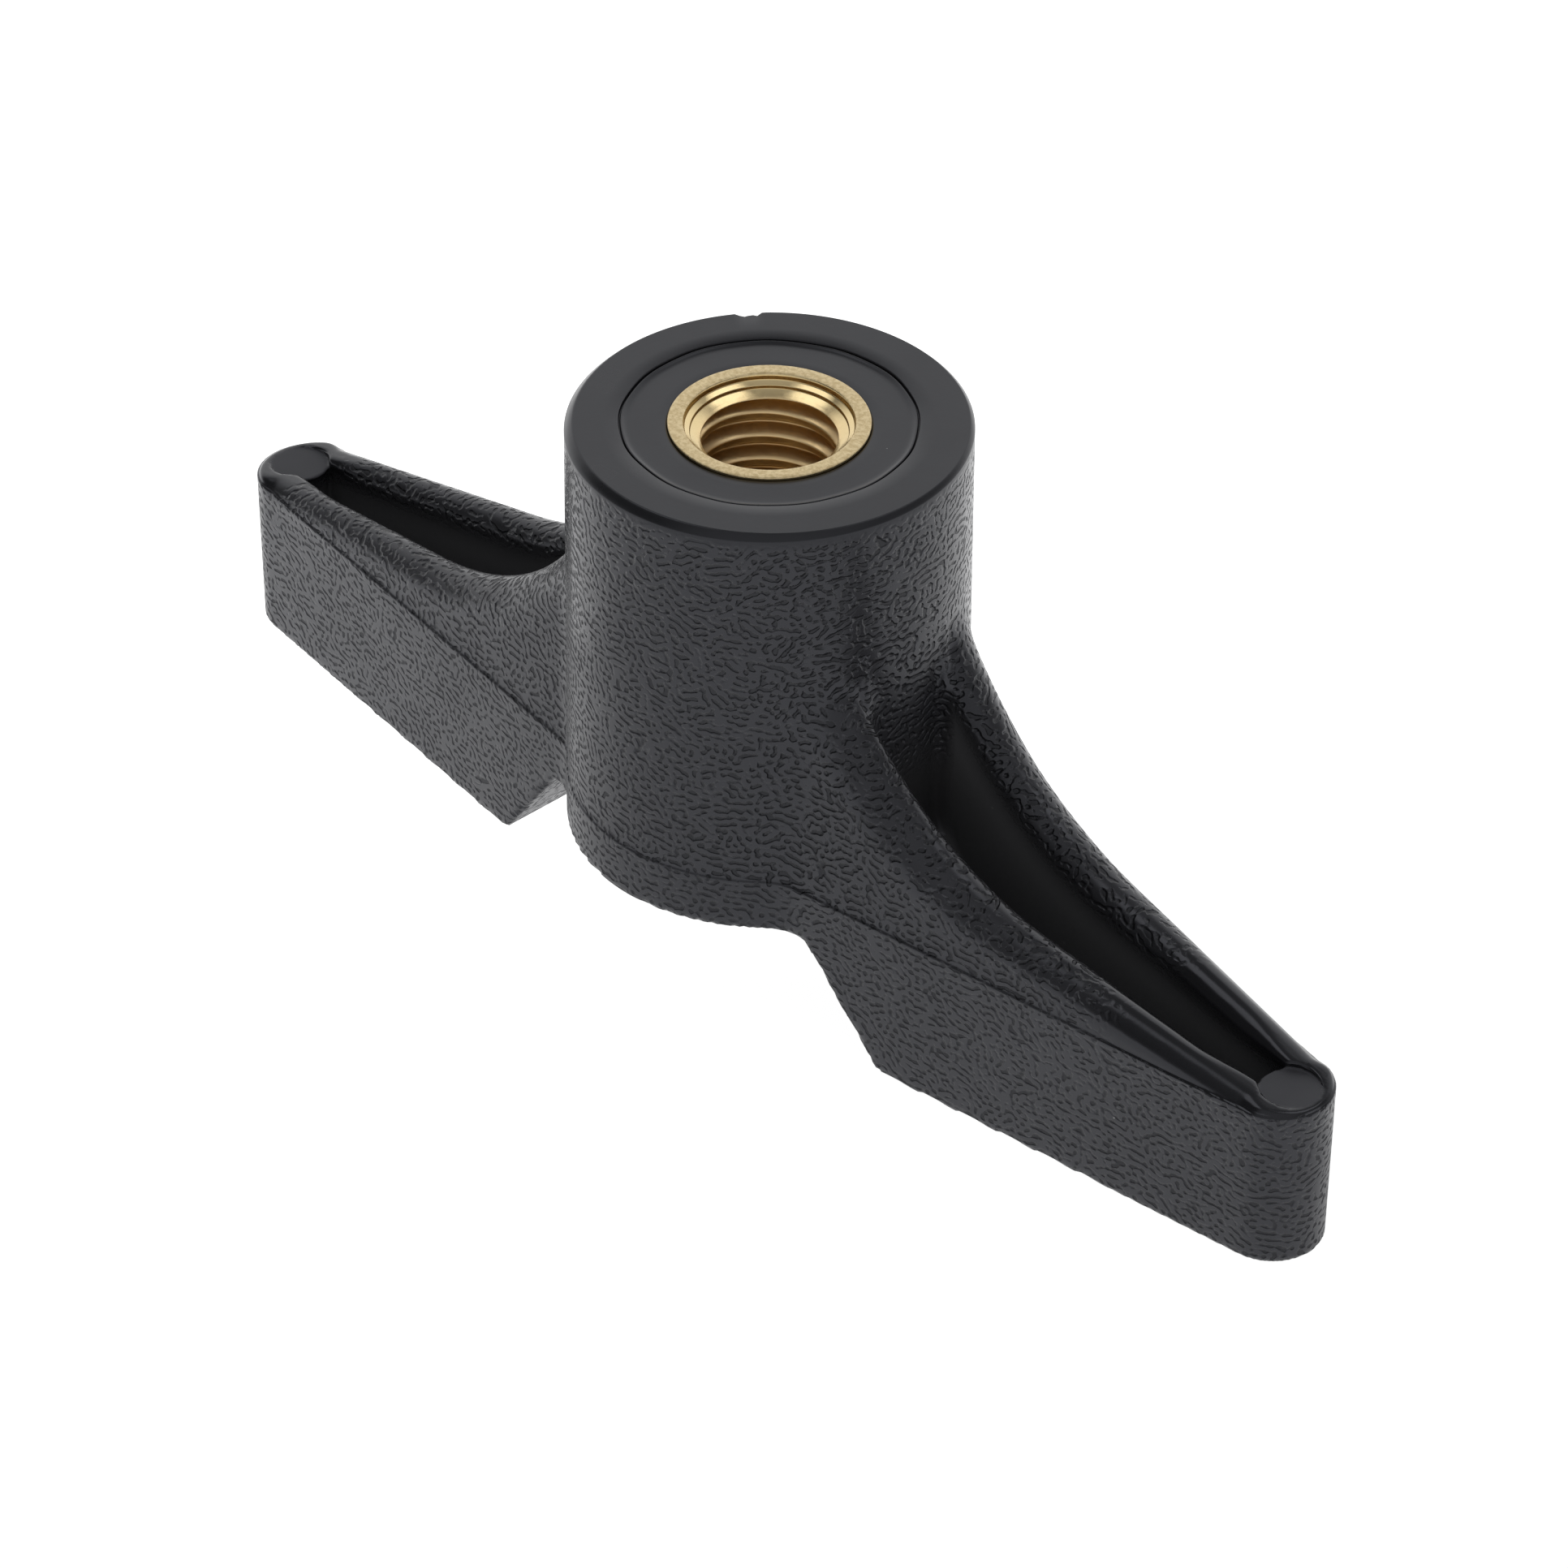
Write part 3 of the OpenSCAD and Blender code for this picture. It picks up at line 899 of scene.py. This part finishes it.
def brass_material():
    """Turned brass, with a duller and paler face round the mouth, and a thread made more orange as a painted
    glow of bounced light.
    """
    m = Nodes("turned_brass")
    where = m.place()
    face = m.value_of("face")
    deep = m.value_of("deep")
    speck = m.noise(where, SPECK_SCALE, 3.0, 0.65)
    cloud = m.noise(where, CLOUD_SCALE, 3.0, 0.6)
    pale = m.mix(m.remap(speck, 0.35, 0.65, 0.0, 1.0), FACE_DARK, FACE_LIGHT)
    mouth = m.mix(cloud, MOUTH_DARK, MOUTH_LIGHT)
    # painted light: the thread's brass is more orange than the mouth's, standing in for light bounced inside
    # the bore
    thread = m.mix(cloud, THREAD_GLOW_DARK, THREAD_GLOW_LIGHT)
    colour = m.mix(face, m.mix(deep, mouth, thread), pale)
    rough = m.math("ADD", m.math("MULTIPLY", face, FACE_ROUGH), m.remap(speck, 0.3, 0.7, *BRASS_ROUGH))
    rough = m.math("ADD", rough, m.math("MULTIPLY", deep, THREAD_ROUGH))
    pits = m.bump(speck, m.math("ADD", m.math("MULTIPLY", face, 0.9), 0.04), PIT_DEPTH)
    m.set(Base_Color=colour, Roughness=rough, Normal=pits)
    m.set(Metallic=1.0)
    return m.material


# Light of the white sweep: its own level, the glow's level, and where the glow rises and falls, in metres
FLOOR_LEVEL = 0.98
GLOW_LEVEL = 0.38
GLOW_RISE = (-0.006, 0.020)
GLOW_FALL = (0.08, 0.25)


def brightness_behind(m, where):
    """The white sweep is brightest just behind the object."""
    split = m.tree.nodes.new("ShaderNodeSeparateXYZ")
    m.tree.links.new(where, split.inputs[0])
    back = towards(math.degrees(CAMERA_AZIMUTH) + 180.0, 0.0)
    depth = m.math("MULTIPLY", split.outputs[0], back[0])
    depth = m.math("ADD", depth, m.math("MULTIPLY", split.outputs[1], back[1]))
    near = m.remap(depth, *GLOW_RISE, 0.0, 1.0)
    far = m.remap(depth, *GLOW_FALL, 0.0, 1.0)
    glow = m.math("SUBTRACT", near, far, clamp=True)
    return m.math("ADD", FLOOR_LEVEL, m.math("MULTIPLY", glow, GLOW_LEVEL))


def floor_material():
    m = Nodes("pale_floor")
    where = m.place()
    mottle = m.noise(where, MOTTLE_SCALE, 3.0, 0.6)
    m.set(Base_Color=m.mix(mottle, FLOOR_DARK, FLOOR_LIGHT))
    m.set(Roughness=0.8)
    m.set(Emission_Color=WHITE)
    m.set(Emission_Strength=brightness_behind(m, where))
    return m.material


# ---------------------------------------------------------------- stage
CAMERA_AZIMUTH = math.radians(46.63457)
CAMERA_ELEVATION = math.radians(33.64414)
CAMERA_ROLL = math.radians(0.34282)
CAMERA_DISTANCE = 274.63
CAMERA_TARGET = (0.862, 0.0, -15.572)
CAMERA_LENS = 177.18
CAMERA_SENSOR = 36.0
# Floor: a disc of this radius and number of sides, just below the object
FLOOR_R = 3000.0
FLOOR_SIDES = 24
FLOOR_GAP = 0.02
# Brightness of the surroundings: the dim room, the sweep, what stands in front, the dark flag, the two boxes
ROOM_LEVEL = 0.30
SWEEP_LEVEL = 0.80
FRONT_LEVEL = 0.28
FLAG_LEVEL = 0.20
BOX_LEVEL = 1.3
# Where they stand, in degrees from the camera's side and above the horizon
FRONT_HEIGHT = 40.0
FLAG_SIDE = -94.0
FLAG_HEIGHT = 32.0
BOX_SIDE = 112.0
BOX_HEIGHT = 62.0
# How wide they are: cosines of the angles from the middle at which the light starts, and at which it is full
SWEEP_WIDTH = (0.25, 0.70)
SWEEP_TOP = (0.62, 0.82)
HORIZON = (0.03, 0.20)
FRONT_WIDTH = (0.55, 0.92)
FLAG_WIDTH = (0.72, 0.95)
BOX_WIDTH = (0.955, 0.985)


def towards(azimuth, elevation):
    """Unit vector at angles in degrees; azimuth 0 is -Y and 90 is +X."""
    a, e = math.radians(azimuth), math.radians(elevation)
    return (math.sin(a) * math.cos(e), -math.cos(a) * math.cos(e), math.sin(e))


def make_camera():
    e = CAMERA_ELEVATION
    a = CAMERA_AZIMUTH
    back = Vector((math.sin(a) * math.cos(e), -math.cos(a) * math.cos(e), math.sin(e)))
    spot = back * CAMERA_DISTANCE * MM
    ahead = (Vector(CAMERA_TARGET) * MM - spot).normalized()
    right = ahead.cross(Vector((0, 0, 1))).normalized()
    up = right.cross(ahead)
    c, s = math.cos(CAMERA_ROLL), math.sin(CAMERA_ROLL)
    x = right * c + up * s
    y = up * c - right * s
    data = bpy.data.cameras.new("camera")
    data.lens = CAMERA_LENS
    data.sensor_width = CAMERA_SENSOR
    data.clip_start = 0.01
    data.clip_end = 20.0
    cam = bpy.data.objects.new("camera", data)
    bpy.context.scene.collection.objects.link(cam)
    turn = Matrix((x, y, -ahead)).transposed().to_4x4()
    cam.matrix_world = Matrix.Translation(spot) @ turn
    bpy.context.scene.camera = cam


def make_floor():
    z = FLOOR_Z - FLOOR_GAP
    turns = [2 * math.pi * i / FLOOR_SIDES for i in range(FLOOR_SIDES)]
    points = [(FLOOR_R * math.cos(t), FLOOR_R * math.sin(t), z) for t in turns]
    mesh = bpy.data.meshes.new("floor")
    mesh.from_pydata((np.array(points) * MM).tolist(), [], [tuple(range(FLOOR_SIDES))])
    obj = bpy.data.objects.new("floor", mesh)
    bpy.context.scene.collection.objects.link(obj)
    obj.data.materials.append(floor_material())


def make_lights():
    """A white sweep behind the object, a dim room round it, a dark flag and two soft boxes overhead."""
    world = bpy.data.worlds.new("studio")
    world.use_nodes = True
    bpy.context.scene.world = world
    tree = world.node_tree
    where = tree.nodes.new("ShaderNodeTexCoord").outputs["Generated"]

    def lobe(direction, start, end, amount):
        """Light round a direction: none below the cosine start, the whole amount above the cosine end."""
        dot = tree.nodes.new("ShaderNodeVectorMath")
        dot.operation = "DOT_PRODUCT"
        dot.inputs[1].default_value = direction
        tree.links.new(where, dot.inputs[0])
        node = tree.nodes.new("ShaderNodeMapRange")
        node.interpolation_type = "SMOOTHSTEP"
        tree.links.new(dot.outputs["Value"], node.inputs["Value"])
        for key, value in (("From Min", start), ("From Max", end), ("To Min", 0.0), ("To Max", amount)):
            node.inputs[key].default_value = value
        return node.outputs["Result"]

    def combine(operation, a, b):
        node = tree.nodes.new("ShaderNodeMath")
        node.operation = operation
        for socket, value in zip(node.inputs, (a, b)):
            feed(tree, socket, value)
        return node.outputs[0]

    facing = math.degrees(CAMERA_AZIMUTH)
    zenith = (0.0, 0.0, 1.0)
    behind = lobe(towards(facing + 180.0, 0.0), *SWEEP_WIDTH, 1.0)
    low = combine("SUBTRACT", 1.0, lobe(zenith, *SWEEP_TOP, 1.0))
    horizon = combine("SUBTRACT", 1.0, lobe(zenith, *HORIZON, 1.0))
    bright = combine("MAXIMUM", combine("MULTIPLY", behind, low), horizon)
    level = combine("MULTIPLY_ADD", bright, SWEEP_LEVEL)
    level.node.inputs[2].default_value = ROOM_LEVEL
    front = lobe(towards(facing, FRONT_HEIGHT), *FRONT_WIDTH, FRONT_LEVEL)
    level = combine("ADD", level, front)
    flag = lobe(towards(facing + FLAG_SIDE, FLAG_HEIGHT), *FLAG_WIDTH, FLAG_LEVEL)
    level = combine("SUBTRACT", level, flag)
    for side in (-BOX_SIDE, BOX_SIDE):
        box = lobe(towards(facing + side, BOX_HEIGHT), *BOX_WIDTH, BOX_LEVEL)
        level = combine("ADD", level, box)
    background = tree.nodes["Background"]
    background.inputs["Color"].default_value = WHITE
    tree.links.new(level, background.inputs["Strength"])


def make_pieces():
    body = new_object("nut_body", *body_mesh())
    body_zones(body)
    body.data.materials.append(plastic_material())
    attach(body, "root")
    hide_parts("wing_body")
    insert = new_object("nut_insert", *insert_mesh())
    insert_zones(insert)
    insert.data.materials.append(brass_material())
    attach(insert, "root")
    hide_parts("threaded_insert")


bpy.context.scene.view_settings.view_transform = "Standard"
make_camera()
make_floor()
make_lights()
make_pieces()
